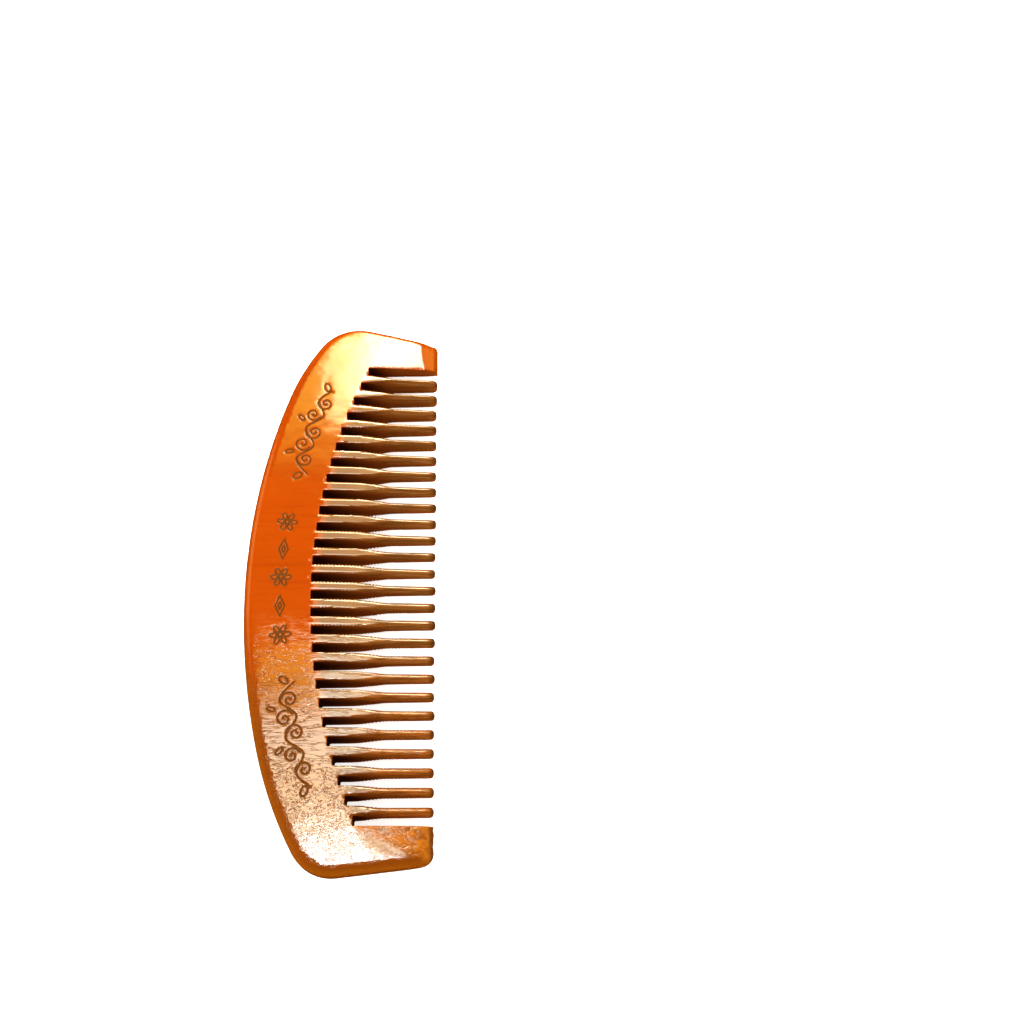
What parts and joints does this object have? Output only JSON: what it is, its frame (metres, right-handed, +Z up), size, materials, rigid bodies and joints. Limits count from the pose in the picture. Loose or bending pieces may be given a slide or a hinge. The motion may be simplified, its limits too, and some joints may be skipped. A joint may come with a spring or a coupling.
{
  "type": "wooden comb",
  "caption": "Flat one-piece wooden comb with a curved back, rounded edges, two end guards and a row of tapered teeth cut between them.",
  "frame": {"origin": "on the surface that the comb lies on, under the middle of its box", "axes": "+X along the comb, +Y from the tips of the teeth to the curved back, +Z up through its thickness"},
  "size_m": [0.1747, 0.057, 0.0094],
  "materials": {
    "wood": "glossy clear lacquer over orange-brown wood"
  },
  "bodies": {
    "root": {"comb": "wood"}
  },
  "joints": []
}
